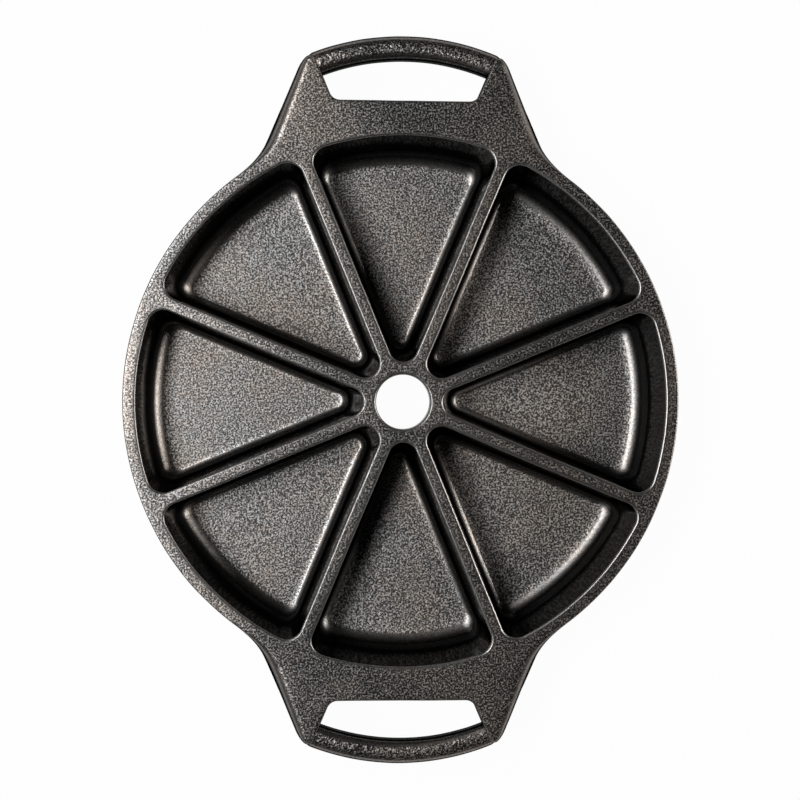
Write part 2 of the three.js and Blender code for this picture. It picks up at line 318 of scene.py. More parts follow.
def quarter_outline():
    """Runs from the X axis to the Y axis, each with the radii of its edges."""
    climb = rise * [-1, 1]
    out = np.array([math.cos(ARM_SLOPE), math.sin(ARM_SLOPE)])
    arm = np.array([ARM_HALF_SPREAD, SLOT_EDGE])
    root = line_meets_circle(arm + ARM_ROOT_RADIUS * out, climb, HUB, RIM_RADIUS + ARM_ROOT_RADIUS)
    corner_reach = GRIP_ARC_RADIUS - ARM_CORNER_RADIUS
    corner = line_meets_circle(arm - ARM_CORNER_RADIUS * out, climb, GRIP_CENTRE, corner_reach)
    into_arm = np.array([math.cos(ARM_SLOPE), -math.sin(ARM_SLOPE)])
    tip_reach = ARM_CORNER_RADIUS - ARM_TIP_RADIUS
    tip = line_meets_circle(slot_end + ARM_TIP_RADIUS * into_arm, rise, corner, tip_reach)
    set_back = SLOT_CORNER_RADIUS * math.tan((math.pi / 2 - ARM_SLOPE) / 2)
    slot_corner = np.array([SLOT_HALF_LENGTH - set_back, SLOT_EDGE + SLOT_CORNER_RADIUS])
    root_turn, tip_turn = angle_of(root), angle_of(tip - corner)
    root_arc = arc(root, ARM_ROOT_RADIUS, root_turn + math.pi, ARM_SLOPE + math.pi, ROOT_STEPS)
    corner_arc = arc(corner, ARM_CORNER_RADIUS, ARM_SLOPE, tip_turn, ARM_CORNER_STEPS)
    tip_arc = arc(tip, ARM_TIP_RADIUS, tip_turn, math.pi - ARM_SLOPE, ARM_TIP_STEPS)
    slot_arc = arc(slot_corner, SLOT_CORNER_RADIUS, -ARM_SLOPE, -math.pi / 2, SLOT_CORNER_STEPS)
    rim_arc = arc(HUB, RIM_RADIUS, 0, root_turn, steps_for(RIM_RADIUS * root_turn))
    arm_length = np.linalg.norm(corner_arc[0] - root_arc[-1])
    arm_line = straight(root_arc[-1], corner_arc[0], steps_for(arm_length))
    slot_end_line = straight(tip_arc[-1], slot_arc[0], SLOT_END_STEPS)
    web_line = straight(slot_arc[-1], np.array([0.0, SLOT_EDGE]), WEB_STEPS)
    return [
        with_rounds(rim_arc, RIM_ROUNDS, RIM_ROUNDS),
        with_rounds(root_arc, RIM_ROUNDS, ARM_ROUNDS),
        with_rounds(arm_line, ARM_ROUNDS, CORNER_ROUNDS),
        with_rounds(corner_arc, CORNER_ROUNDS, TIP_ROUNDS),
        with_rounds(tip_arc, TIP_ROUNDS, SLOT_ROUNDS),
        with_rounds(slot_end_line, SLOT_ROUNDS, SLOT_ROUNDS),
        with_rounds(slot_arc, SLOT_ROUNDS, SLOT_ROUNDS),
        with_rounds(web_line, SLOT_ROUNDS, SLOT_ROUNDS),
    ]


def four_times(quarter):
    """Mirror a run from the X axis to the Y axis into a loop. Columns after the first two are copied."""
    flip_x = np.ones(quarter.shape[1])
    flip_x[0] = -1
    flip_y = np.ones(quarter.shape[1])
    flip_y[1] = -1
    half = np.vstack((quarter, quarter[-2::-1] * flip_x))
    return np.vstack((half[:-1], half[::-1][:-1] * flip_y))


def smoothed(values):
    """A running mean round a loop, so that one edge radius flows into the next."""
    weights = np.hanning(2 * SMOOTHING + 3)
    total = sum(w * np.roll(values, k - SMOOTHING - 1) for k, w in enumerate(weights))
    return total / weights.sum()


quarter = quarter_outline()
deck_rows = four_times(np.vstack((chain(*quarter), quarter[-1][-1:])))
deck_loop = deck_rows[:, :2]
top_rounds = smoothed(deck_rows[:, 2])
foot_rounds = smoothed(deck_rows[:, 3])
print("points round the deck:", len(deck_loop))

# %% [markdown]
# ## Edge bands
# A rounded edge is a stack of loops: a quarter circle down from the top face, a straight flank and a
# quarter circle into the underside. The loops are moved along each point's own normal, so the radius can
# change from point to point. Under the handles the plate thickens from the rim to the slot, and a smooth
# step carries one depth into the other. The rim's flank leans like a well's outer wall, and stands
# upright at the handles.

# %% Loops down an edge
HEEL_START = RIM_RADIUS + 2.0
HEEL_END = SLOT_EDGE + 2.0
LEAN_START = RIM_RADIUS - 22.0
LEAN_END = RIM_RADIUS - 6.0
TOP_ROUND_STEPS = 8
FLANK_STEPS = 5
FOOT_ROUND_STEPS = 6
HUB_POINTS = 80


def level_face(z):
    return lambda points: np.full(len(points), float(z))


def foot_height(points):
    heel = smooth_step(HEEL_START, HEEL_END, np.abs(points[:, 1]))
    return DECK_UNDERSIDE + (HEIGHT - ARM_THICKNESS - DECK_UNDERSIDE) * heel


def normals_of(loop):
    """Outward normals of a loop that runs anticlockwise."""
    along = np.roll(loop, -1, axis=0) - np.roll(loop, 1, axis=0)
    across = np.column_stack((along[:, 1], -along[:, 0]))
    return across / np.linalg.norm(across, axis=1)[:, None]


def edge_band(loop, into_metal, top_round, foot_round, lean=0.0):
    depth = HEIGHT - foot_height(loop)
    foot_move = np.broadcast_to(foot_round + depth * lean, len(loop))
    foot = foot_height(loop + into_metal * foot_move[:, None])
    loops = []

    def add(inset, z):
        move = np.broadcast_to(inset + (HEIGHT - z) * lean, len(loop))
        loops.append(lifted(loop + into_metal * move[:, None], z))

    for t in np.linspace(0, math.pi / 2, TOP_ROUND_STEPS + 1):
        add(top_round * (1 - math.sin(t)), HEIGHT - top_round * (1 - math.cos(t)))
    for share in np.linspace(0, 1, FLANK_STEPS + 1)[1:]:
        add(0.0, (1 - share) * (HEIGHT - top_round) + share * (foot + foot_round))
    for t in np.linspace(0, math.pi / 2, FOOT_ROUND_STEPS + 1)[1:]:
        add(foot_round * (1 - math.cos(t)), foot + foot_round * (1 - math.sin(t)))
    return loops


upright = smooth_step(LEAN_START, LEAN_END, np.abs(deck_loop[:, 1]))
rim_lean = math.tan(RIM_DRAFT) * (1 - upright)
rim_band = edge_band(deck_loop, -normals_of(deck_loop), top_rounds, foot_rounds, rim_lean)
hub_loop = arc(HUB, HUB_HOLE_RADIUS, 0, 2 * math.pi, HUB_POINTS)[:-1]
hub_band = edge_band(hub_loop, normals_of(hub_loop), EDGE_ROUND, EDGE_ROUND)
print("loops in the rim's edge:", len(rim_band))

# %% [markdown]
# ## Fillets under the deck
# Where the outside of a cup runs into the deck's underside, the casting has a fillet. Between two cups
# there is no room for one, and at the hub and under the handles there is, so each point's radius comes
# from the distance to its nearest neighbour. A k-d tree finds that distance.

# %% Loops of the cups' outside
FILLET = 3.0
LEAST_FILLET = 0.02
FILLET_STEPS = 6
WALL_STEPS = 9
EDGE_CLEARANCE = 0.15
CUP_CLEARANCE = 0.1
MEASURING_STEP = 0.2
lip_loop = outside_wedge(DECK_UNDERSIDE)


def nearest_distance(points, others):
    tree = kdtree.KDTree(len(others))
    for i, p in enumerate(others):
        tree.insert((p[0], p[1], 0), i)
    tree.balance()
    return np.array([tree.find((p[0], p[1], 0))[2] for p in points])


def dense(loop):
    """A loop's outline with points close enough to measure to."""
    ends = np.roll(loop, -1, axis=0)
    counts = np.ceil(np.linalg.norm(ends - loop, axis=1) / MEASURING_STEP).astype(int)
    return np.vstack([straight(a, b, n)[:-1] for a, b, n in zip(loop, ends, counts)])


fixed_edges = np.vstack([dense(band[-1][:, :2]) for band in (rim_band, hub_band)])
FILLET_REACH = math.cos(SIDE_DRAFT) - (1 - math.sin(SIDE_DRAFT)) * math.tan(SIDE_DRAFT)


def fillet_radii(well):
    angle = 2 * HALF_WEDGE * well
    here = turned(lip_loop, angle)
    room = nearest_distance(here, fixed_edges) - EDGE_CLEARANCE
    for side in (-1, 1):
        beside = turned(dense(lip_loop), angle + side * 2 * HALF_WEDGE)
        room = np.minimum(room, nearest_distance(here, beside) / 2 - CUP_CLEARANCE)
    return np.clip(room / FILLET_REACH, LEAST_FILLET, FILLET)


def outside_loops(well):
    """From the deck's underside down the fillet, the wall and the rounded foot."""
    radius = fillet_radii(well)[:, None]
    out = normals_of(lip_loop)
    loops = []
    for t in np.linspace(math.pi / 2, math.pi - SIDE_DRAFT, FILLET_STEPS + 1):
        move = radius * (FILLET_REACH + math.cos(t))
        loops.append(lifted(lip_loop + out * move, DECK_UNDERSIDE - radius[:, 0] * (1 - math.sin(t))))
    wall_top = loops[-1]
    wall_foot = lifted(outside_wedge(base_heights[0]), base_heights[0])
    shares = np.linspace(0, 1, WALL_STEPS + 1)[1:-1]
    loops += [wall_top + (wall_foot - wall_top) * share for share in shares]
    loops += [lifted(outside_wedge(z), z) for z in base_heights]
    return [turned(loop, 2 * HALF_WEDGE * well) for loop in loops]


cup_outsides = [outside_loops(i) for i in range(len(WELL_NAMES))]
print("loops down a cup's outside:", len(cup_outsides[0]))

# %% [markdown]
# ## Filling flat faces
# The deck's faces are flat regions with holes. A constrained Delaunay triangulation fills them: the loops
# are kept as edges, and a grid of points inside gives even triangles that can carry the casting's
# unevenness later. The loops part the triangles into groups, and a group is kept or dropped by where the
# middle of its largest triangle lies.

# %% Fill a region between loops
SLIVER_AREA = 0.01
GRID_CLEARANCE = 0.65
SAME_POINT = 1e-7


def is_inside(points, loops):
    odd = np.zeros(len(points), dtype=bool)
    x, y = points[:, 0], points[:, 1]
    for loop in loops:
        for (x0, y0), (x1, y1) in zip(loop, np.roll(loop, -1, axis=0)):
            if y0 == y1:
                continue
            spans = (y0 > y) != (y1 > y)
            odd ^= spans & (x < x0 + (y - y0) * (x1 - x0) / (y1 - y0))
    return odd


def grid_inside(loops, spacing):
    low, high = loops[0].min(axis=0), loops[0].max(axis=0)
    rows = np.arange(low[1], high[1], spacing * math.sqrt(3) / 2)
    points = [
        (x, y)
        for i, y in enumerate(rows)
        for x in np.arange(low[0] + spacing / 2 * (i % 2), high[0], spacing)
    ]
    points = np.array(points)
    points = points[is_inside(points, loops)]
    clear = nearest_distance(points, np.vstack(loops)) > GRID_CLEARANCE * spacing
    return points[clear]


def regions(triangles, walls):
    """Groups of triangles that no loop edge parts."""
    beside = {}
    for i, face in enumerate(triangles):
        for a, b in zip(face, face[1:] + face[:1]):
            beside.setdefault(frozenset((a, b)), []).append(i)
    links = [[] for _ in triangles]
    for edge, pair in beside.items():
        if len(pair) == 2 and edge not in walls:
            links[pair[0]].append(pair[1])
            links[pair[1]].append(pair[0])
    seen = set()
    for start in range(len(triangles)):
        if start in seen:
            continue
        seen.add(start)
        group = [start]
        for i in group:
            fresh = [j for j in links[i] if j not in seen]
            seen.update(fresh)
            group += fresh
        yield group


def fill(loops, spacing, height):
    """Triangles between an outer loop and the holes in it, with each point at its height."""
    points, edges = [], []
    for loop in loops:
        first = len(points)
        points += [Vector(p) for p in loop]
        edges += [(first + i, first + (i + 1) % len(loop)) for i in range(len(loop))]
    points += [Vector(p) for p in grid_inside(loops, spacing)]
    found, made, triangles, _, sources, _ = delaunay_2d_cdt(points, edges, [], 0, SAME_POINT)
    flat = np.array([(p.x, p.y) for p in found])
    walls = {frozenset(edge) for edge, source in zip(made, sources) if source}
    kept = []
    for group in regions([list(face) for face in triangles], walls):
        corners = flat[[triangles[i] for i in group]]
        legs = corners[:, 1:] - corners[:, :1]
        areas = np.abs(legs[:, 0, 0] * legs[:, 1, 1] - legs[:, 0, 1] * legs[:, 1, 0]) / 2
        middle = corners[np.argmax(areas)].mean(axis=0)
        if areas.sum() > SLIVER_AREA and is_inside(middle[None], loops)[0]:
            kept += [triangles[i] for i in group]
    return lifted(flat, height(flat)), kept


TEST_SPACING = 3.0
hub_disc = fill([hub_loop], TEST_SPACING, level_face(0))
print("triangles in a disc as wide as the hub hole:", len(hub_disc[1]))

# %% [markdown]
# ## Gathering a piece
# A piece is gathered from bands and fills. Their shared loops hold the same points, so welding them
# afterwards gives one closed skin. An edge with other than two faces would be open, so those are counted.

# %% Patches of one piece
WELD_DISTANCE = 0.002
LEAST_EDGE = 0.001


class Patches:
    """Points and faces in millimetres, gathered patch by patch."""

    def __init__(self):
        self.points = []
        self.faces = []
        self.count = 0

    def add(self, points, faces):
        self.points.append(points)
        self.faces += [tuple(self.count + i for i in face) for face in faces]
        self.count += len(points)

    def band(self, loops):
        n = len(loops[0])
        faces = []
        for level in range(len(loops) - 1):
            for i in range(n):
                a, b = level * n + i, level * n + (i + 1) % n
                faces.append((a, b, b + n, a + n))
        self.add(np.vstack(loops), faces)

    def fan(self, loop):
        n = len(loop)
        self.add(np.vstack((loop, loop.mean(axis=0))), [(i, (i + 1) % n, n) for i in range(n)])

    def fill(self, loops, spacing, height):
        self.add(*fill([loop[:, :2] for loop in loops], spacing, height))

    def welded(self):
        bm = bmesh.new()
        corners = [bm.verts.new(p * MM) for p in np.vstack(self.points)]
        for face in self.faces:
            bm.faces.new([corners[i] for i in face])
        bmesh.ops.remove_doubles(bm, verts=bm.verts, dist=WELD_DISTANCE * MM)
        bmesh.ops.dissolve_degenerate(bm, edges=bm.edges, dist=LEAST_EDGE * MM)
        bmesh.ops.recalc_face_normals(bm, faces=bm.faces)
        return bm


def open_edges(bm):
    return sum(len(edge.link_faces) != 2 for edge in bm.edges)


print("points closer than", WELD_DISTANCE, "mm are welded")

# %% [markdown]
# ## The deck
# The deck takes the top and bottom fills, the rim's edge, the hub hole and the upper part of each well's
# wall. At each well it closes on the plane of its underside, where it meets the cup and nothing shows.

# %% Gather the deck
TOP_SPACING = 1.5
UNDER_SPACING = 2.2
well_turns = [2 * HALF_WEDGE * i for i in range(len(WELL_NAMES))]
mouth_bands = [[turned(mouth_loop(z), angle) for z in mouth_heights] for angle in well_turns]
deck = Patches()
deck.band(rim_band)
deck.band(hub_band)
for band, outside in zip(mouth_bands, cup_outsides):
    deck.band(band + [outside[0]])
deck.fill([band[0] for band in [rim_band, hub_band] + mouth_bands], TOP_SPACING, level_face(HEIGHT))
lips = [outside[0] for outside in cup_outsides]
deck.fill([rim_band[-1], hub_band[-1]] + lips, UNDER_SPACING, foot_height)
deck_mesh = deck.welded()
print("deck:", len(deck_mesh.faces), "faces,", open_edges(deck_mesh), "open edges")

# %% [markdown]
# ## The cups
# A cup takes the rest of its well in one band: up its outside, across the plane of the deck's underside
# and down its inside. Two fills close it, the floor and the flat foot on which the pan stands. All eight
# are drawn, because the fillets under the deck differ at the handles.

# %% Gather the cups


def gather_cup(well):
    cup = Patches()
    inside = [turned(inside_loop(z), well_turns[well]) for z in inside_heights]
    cup.band(cup_outsides[well][::-1] + inside)
    cup.fill([inside[-1]], TOP_SPACING, level_face(FLOOR_THICKNESS))
    cup.fill([cup_outsides[well][-1]], UNDER_SPACING, level_face(0))
    return cup.welded()


cup_meshes = [gather_cup(i) for i in range(len(WELL_NAMES))]
cup_faces = [len(mesh.faces) for mesh in cup_meshes]
print("cups:", cup_faces, "faces,", sum(map(open_edges, cup_meshes)), "open edges")

# %% [markdown]
# ## The grips
# A grip is a bar of nearly oval section on an arc. It could be a curve with a bevel, but its ends have to
# follow the slanted ends of the arms. So every point of the section runs on its own circle until it meets
# the arm's end plane, and the sections shear little by little towards the ends. The last bit tapers and
# is buried in the arm, so that the arm's round corner is all that shows there.

# %% Gather a grip
GRIP_TOP_DROP = 0.6
GRIP_LIFT = 0.4
GRIP_FULLNESS = 2.25
GRIP_SECTIONS = 96
GRIP_SIDES = 44
BURIED = 3.0
END_TAPER = 1.3


def oval(turn, half):
    """One coordinate of an oval that is a little fuller than an ellipse."""
    c = math.cos(turn)
    return half * math.copysign(abs(c) ** (2 / GRIP_FULLNESS), c)


def end_angle(radius):
    """Where a circle round the grip's centre meets the end plane inside the arm."""
    end = slot_end + np.array([BURIED / math.cos(ARM_SLOPE), 0.0])
    return angle_of(line_meets_circle(end, rise, GRIP_CENTRE, radius) - GRIP_CENTRE)


def gather_grip():
    half_width = GRIP_WIDTH / 2
    half_height = (ARM_THICKNESS - GRIP_TOP_DROP - GRIP_LIFT) / 2
    middle_height = HEIGHT - GRIP_TOP_DROP - half_height
    middle_radius = GRIP_ARC_RADIUS - half_width
    length = middle_radius * (math.pi / 2 - end_angle(middle_radius))
    sections = []
    for share in np.linspace(-1, 1, GRIP_SECTIONS + 1):
        near_end = max(0.0, 1 - (1 - abs(share)) * length / BURIED)
        taper = END_TAPER * near_end**2
        section = []
        for k in range(GRIP_SIDES):
            turn = 2 * math.pi * k / GRIP_SIDES
            radius = middle_radius + oval(turn, half_width - taper)
            angle = math.pi / 2 - share * (math.pi / 2 - end_angle(radius))
            x = GRIP_CENTRE[0] + radius * math.cos(angle)
            y = GRIP_CENTRE[1] + radius * math.sin(angle)
            section.append((x, y, middle_height + oval(turn - math.pi / 2, half_height - taper)))
        sections.append(np.array(section))
    bar = Patches()
    bar.band(sections)
    bar.fan(sections[0])
    bar.fan(sections[-1])
    return bar.welded()


grip_meshes = {"back": gather_grip(), "front": gather_grip()}
front_grip = grip_meshes["front"]
bmesh.ops.rotate(front_grip, verts=front_grip.verts, matrix=Matrix.Rotation(math.pi, 3, "Z"))
grip_counts = [(len(mesh.faces), open_edges(mesh)) for mesh in grip_meshes.values()]
print("grips:", grip_counts, "faces and open edges")

# %% [markdown]
# ## Unevenness of a sand casting
# Sand moulds give way a little, so no face of a casting is quite flat and no edge quite straight. A
# displacement modifier could do this, but moving the points themselves keeps it in the mesh. Smooth noise
# moves each point by about a tenth of a millimetre. It depends only on the place in the pan, so
# neighbouring pieces stay joined, and it has a seed, so every run gives the same pan.

# %% Move a point
NOISE_SEED = 7
WAVES = [(34.0, 0.16), (11.0, 0.07)]
noise.seed_set(NOISE_SEED)


def uneven(point):
    """Each wave has a length and a size in millimetres."""
    moved = point.copy()
    for length, size in WAVES:
        moved += noise.noise_vector(point / (length * MM)) * (size * MM)
    return moved


rim_point = Vector((RIM_RADIUS, 0, HEIGHT)) * MM
print("a point on the rim moves", round((uneven(rim_point) - rim_point).length / MM, 3), "mm")

# %% [markdown]
# ## Rubbed edges with a painted highlight, and the outside
# Two numbers are stored on every point for the materials to read. One says how tightly the mesh is bent
# outwards near the top, because such edges are rubbed bare first; their lighter colour is also a painted
# highlight along the edges. The other says what lies on the outside of the casting, which keeps all its
# sand grain, while the walls of the wells are smooth. On a cup, a normal of the inside points towards the
# well's middle, and one of the outside points away from it.

# %% Numbers on every point
WEAR_AND_HIGHLIGHT_DEPTH = 1.6
INSIDE_RIM = 114.0
OUTER_WEAR_AND_HIGHLIGHT = 0.1
FLANK_START = -0.35
UNDERSIDE = -0.9
MARKED_WEAR_AND_HIGHLIGHT = 0.5


def is_inside_rim(point):
    return math.hypot(point.x, point.y) < INSIDE_RIM * MM


def edge_wear_and_highlight(bm):
    """How tightly each point near the top is bent outwards: 1 on a round of a millimetre, 0 on flats."""
    bm.normal_update()
    wear_and_highlight = []
    for vert in bm.verts:
        bends = [0.0]
        if vert.co.z > (HEIGHT - WEAR_AND_HIGHLIGHT_DEPTH) * MM:
            others = [edge.other_vert(vert) for edge in vert.link_edges]
            steps = [(other.normal - vert.normal, other.co - vert.co) for other in others]
            bends += [bend.dot(step) / step.length_squared for bend, step in steps]
        # Outside the rim, the share of wear and painted highlight is cut to a tenth.
        wear_and_highlight.append(min(max(bends) * MM, 1.0) * (1.0 if is_inside_rim(vert.co) else OUTER_WEAR_AND_HIGHLIGHT))
    return wear_and_highlight


def outside_share(bm, well_middle):
    """1 on the casting's flanks and underside, 0 on its top and in its wells."""
    shares = []
    for vert in bm.verts:
        if well_middle is not None:
            share = (vert.co - well_middle).dot(vert.normal) > 0
        elif is_inside_rim(vert.co):
            share = vert.normal.z < UNDERSIDE
        else:
            share = smooth_step(FLANK_START, 0.0, -vert.normal.z)
        shares.append(float(share))
    return shares


deck_wear_and_highlight = edge_wear_and_highlight(deck_mesh)
print("points on worn edges of the deck:", sum(wear_and_highlight > MARKED_WEAR_AND_HIGHLIGHT for wear_and_highlight in deck_wear_and_highlight))

# %% [markdown]
# ## The objects
# Each mesh becomes an object that rides on the pan's one body and replaces the solid over which it was
# drawn. The faces are shaded smooth, with a hard line only where two of them meet at a sharp angle.

# %% Make the objects
SHARP_ANGLE = math.radians(42)
WELL_MIDDLE_REACH = 70.0


def make_piece(name, bm, node, well_middle=None):
    numbers = {"edge_wear_and_highlight": edge_wear_and_highlight(bm), "outside": outside_share(bm, well_middle)}
    for vert in bm.verts:
        vert.co = uneven(vert.co)
    mesh = bpy.data.meshes.new(name)
    bm.to_mesh(mesh)
    bm.free()
    mesh.polygons.foreach_set("use_smooth", [True] * len(mesh.polygons))
    mesh.set_sharp_from_angle(angle=SHARP_ANGLE)
    for attribute, values in numbers.items():
        mesh.attributes.new(attribute, "FLOAT", "POINT").data.foreach_set("value", values)
    piece = bpy.data.objects.new(name, mesh)
    bpy.context.scene.collection.objects.link(piece)
    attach(piece, "root")
    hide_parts(node)
    return piece


def middle_of(well):
    turn = well_turns[well]
    return Vector((WELL_MIDDLE_REACH * math.cos(turn), WELL_MIDDLE_REACH * math.sin(turn), HEIGHT)) * MM


deck_piece = make_piece("deck_casting", deck_mesh, "deck_plate")
cup_pieces = [
    make_piece(f"cup_{name}", mesh, f"well_{name}", middle_of(i))
    for i, (name, mesh) in enumerate(zip(WELL_NAMES, cup_meshes))
]
grip_pieces = [make_piece(f"handle_grip_{end}", mesh, f"grip_{end}") for end, mesh in grip_meshes.items()]
all_pieces = [deck_piece] + cup_pieces + grip_pieces
print("pieces:", len(all_pieces), "faces:", sum(len(piece.data.polygons) for piece in all_pieces))

# %% [markdown]
# ## Node helpers
# The iron's finish is made of nodes. These helpers add a node with its values, start a node group whose
# outputs several materials can share, and write the sums and blends that come up often. A Mix node has
# sockets for every kind of data, so the ones for colours are taken by their places.

# %% Node helpers
UNDER_COLOUR, OVER_COLOUR, MIXED_COLOUR = 6, 7, 2


def add_node(tree, kind, values=None, **settings):
    """A node with its settings, and with values on its inputs. A value that is a socket is linked."""
    node = tree.nodes.new("ShaderNode" + kind)
    for name, setting in settings.items():
        setattr(node, name, setting)
    for name, value in (values or {}).items():
        if isinstance(value, bpy.types.NodeSocket):
            tree.links.new(value, node.inputs[name])
        else:
            node.inputs[name].default_value = value
    return node


def new_material(name):
    material = bpy.data.materials.new(name)
    material.use_nodes = True
    material.node_tree.nodes.clear()
    return material, material.node_tree


def new_group(name, sockets):
    group = bpy.data.node_groups.new(name, "ShaderNodeTree")
    for socket, kind in sockets.items():
        group.interface.new_socket(name=socket, in_out="OUTPUT", socket_type=kind)
    return group


def put_out(group, results):
    output = group.nodes.new("NodeGroupOutput")
    for name, socket in results.items():
        group.links.new(socket, output.inputs[name])


def math_node(tree, operation, first, second):
    return add_node(tree, "Math", {0: first, 1: second}, operation=operation).outputs["Value"]


def noise_node(tree, place, scale, detail):
    return add_node(tree, "TexNoise", {"Vector": place, "Scale": scale, "Detail": detail}).outputs["Fac"]


def scaled(tree, value, low, high, to_low, to_high):
    """A smooth step from one range of values to another."""
    values = {"Value": value, "From Min": low, "From Max": high, "To Min": to_low, "To Max": to_high}
    return add_node(tree, "MapRange", values, interpolation_type="SMOOTHSTEP").outputs["Result"]


def mixed_value(tree, share, under, over):
    return add_node(tree, "Mix", {"Factor": share, "A": under, "B": over}).outputs["Result"]


def mixed_colour(tree, share, under, over):
    """One colour laid over another by a share from 0 to 1."""
    values = {"Factor": share, UNDER_COLOUR: under, OVER_COLOUR: over}
    return add_node(tree, "Mix", values, data_type="RGBA").outputs[MIXED_COLOUR]


print("blends:", [helper.__name__ for helper in (math_node, noise_node, scaled, mixed_value, mixed_colour)])

# %% [markdown]
# ## Sand grain
# The mould's sand leaves pebbles about a millimetre across, with lumps under them and finer grit on them.
# The heights are shares of the grain's depth. They lie in the pan's own coordinates, so they stay in
# place when the pan is moved. Flats and the outside carry the full grain. On the slopes of the wells the
# pattern slides out of the sand and smooths it, so there the grain is faint. The group also puts out the
# specks that rubbing leaves on the grains, how flat or steep a face is, whether it is outside, and the
# varnish of burnt oil that runs down the walls.

# %% The grain's node group
PEBBLE_SCALE = 950
PEBBLE_SOFTNESS = 0.5
PEBBLE_HEIGHT = -0.16
LUMP_SCALE = 520
LUMP_HEIGHT = 0.30
GRIT_SCALE = 1400
GRIT_HEIGHT = 0.16
SPECK_SCALE = 1300
GRAIN_DETAIL = 1
NOISE_MIDDLE = 0.5
FLAT_RANGE = (0.93, 0.998)
GRAINY_RANGE = (0.915, 0.995)
FAINT_GRAIN = 0.14
STEEP_RANGE = (0.5, 0.92)
VARNISH_RANGE = (0.2, 0.4)
VARNISH = 0.4
GRAIN_OUTPUTS = ("Height", "Speckle", "Flatness", "Steepness", "Outside", "Varnish")


def grain_height(group, place):
    values = {"Vector": place, "Scale": PEBBLE_SCALE, "Smoothness": PEBBLE_SOFTNESS}
    pebbles = add_node(group, "TexVoronoi", values, feature="SMOOTH_F1").outputs["Distance"]
    height = math_node(group, "MULTIPLY", pebbles, PEBBLE_HEIGHT)
    for scale, size in ((LUMP_SCALE, LUMP_HEIGHT), (GRIT_SCALE, GRIT_HEIGHT)):
        finer = math_node(group, "MULTIPLY", noise_node(group, place, scale, GRAIN_DETAIL), size)
        height = math_node(group, "ADD", height, finer)
    return height


def make_grain():
    group = new_group("sand_grain", dict.fromkeys(GRAIN_OUTPUTS, "NodeSocketFloat"))
    coords = add_node(group, "TexCoord").outputs
    facing = add_node(group, "SeparateXYZ", {"Vector": coords["Normal"]}).outputs["Z"]
    level = add_node(group, "Math", {0: facing}, operation="ABSOLUTE").outputs["Value"]
    outside = add_node(group, "Attribute", attribute_name="outside").outputs["Fac"]
    kept = math_node(group, "MAXIMUM", scaled(group, level, *GRAINY_RANGE, FAINT_GRAIN, 1.0), outside)
    place = coords["Object"]
    dots = noise_node(group, place, SPECK_SCALE, GRAIN_DETAIL)
    specks = math_node(group, "SUBTRACT", dots, NOISE_MIDDLE)
    in_wells = math_node(group, "SUBTRACT", 1.0, outside)
    varnish = scaled(group, level, *VARNISH_RANGE, VARNISH, 0.0)
    results = {
        "Height": math_node(group, "MULTIPLY", grain_height(group, place), kept),
        "Speckle": math_node(group, "MULTIPLY", specks, kept),
        "Flatness": scaled(group, level, *FLAT_RANGE, 0.0, 1.0),
        "Steepness": scaled(group, level, *STEEP_RANGE, 1.0, 0.0),
        "Outside": outside,
        "Varnish": math_node(group, "MULTIPLY", varnish, in_wells),
    }
    put_out(group, results)
    return group


grain_group = make_grain()
print("grain nodes:", len(grain_group.nodes))

# %% [markdown]
# ## Seasoning
# Seasoning is oil baked into a thin dark film. Where it is thick the iron is cooler and blacker, and
# where it is thin the iron shows warmer and duller. The patches are a few centimetres wide, broken up by
# smaller blotches, so two scales of noise are added.

# %% The seasoning's node group
FILM_COLOUR = (0.290, 0.285, 0.280, 1)
THIN_COLOUR = (0.352, 0.313, 0.284, 1)
PATCH_SCALE = 21
PATCH_DETAIL = 3
BLOTCH_SCALE = 240
BLOTCH_DETAIL = 4
BLOTCH_SHARE = 0.5
THIN_RANGE = (0.55, 0.95)


def make_seasoning():
    group = new_group("seasoning", {"Colour": "NodeSocketColor", "Thinness": "NodeSocketFloat"})
    place = add_node(group, "TexCoord").outputs["Object"]
    patches = noise_node(group, place, PATCH_SCALE, PATCH_DETAIL)
    blotches = noise_node(group, place, BLOTCH_SCALE, BLOTCH_DETAIL)
    both = math_node(group, "ADD", patches, math_node(group, "MULTIPLY", blotches, BLOTCH_SHARE))
    thinness = scaled(group, both, *THIN_RANGE, 0.0, 1.0)
    colour = mixed_colour(group, thinness, FILM_COLOUR, THIN_COLOUR)
    put_out(group, {"Colour": colour, "Thinness": thinness})
    return group


seasoning_group = make_seasoning()
print("seasoning nodes:", len(seasoning_group.nodes))

# %% [markdown]
# ## Colour of the iron
# A plain dark metal would look like plastic, so the colour is laid on in layers. The seasoned film is
# speckled by the grain, the walls of the wells get a painted shade that makes them almost black, the
# outside is dark and speckled, and the bent edges are lighter: partly rubbed bare, most of all where the
# film is thin, and partly a painted highlight.

# %% Colour and wear
SPECK_RANGE = (-0.08, 0.16)
# Painted shade: steep faces inside the wells, and the steep rounds of the arms, are made almost black.
PAINTED_WALL_SHADE = (0.040, 0.041, 0.043, 1)
OUTSIDE_SHADES = (0.12, 0.22)
# Colour of the bent edges: partly rubbed bare iron, partly a painted highlight.
WORN_AND_HIGHLIGHT_COLOUR = (0.29, 0.278, 0.266, 1)
WORN_AND_HIGHLIGHT_BENDS = (0.35, 0.85)
LEAST_RUB_AND_HIGHLIGHT = 0.55


# Share of the lighter edge colour, which is partly rubbed iron and partly a painted highlight.
def worn_and_highlight_share(tree, seasoning):
    bends = add_node(tree, "Attribute", attribute_name="edge_wear_and_highlight").outputs["Fac"]
    rubbed_and_highlight = scaled(tree, seasoning["Thinness"], 0.0, 1.0, LEAST_RUB_AND_HIGHLIGHT, 1.0)
    return math_node(tree, "MULTIPLY", scaled(tree, bends, *WORN_AND_HIGHLIGHT_BENDS, 0.0, 1.0), rubbed_and_highlight)


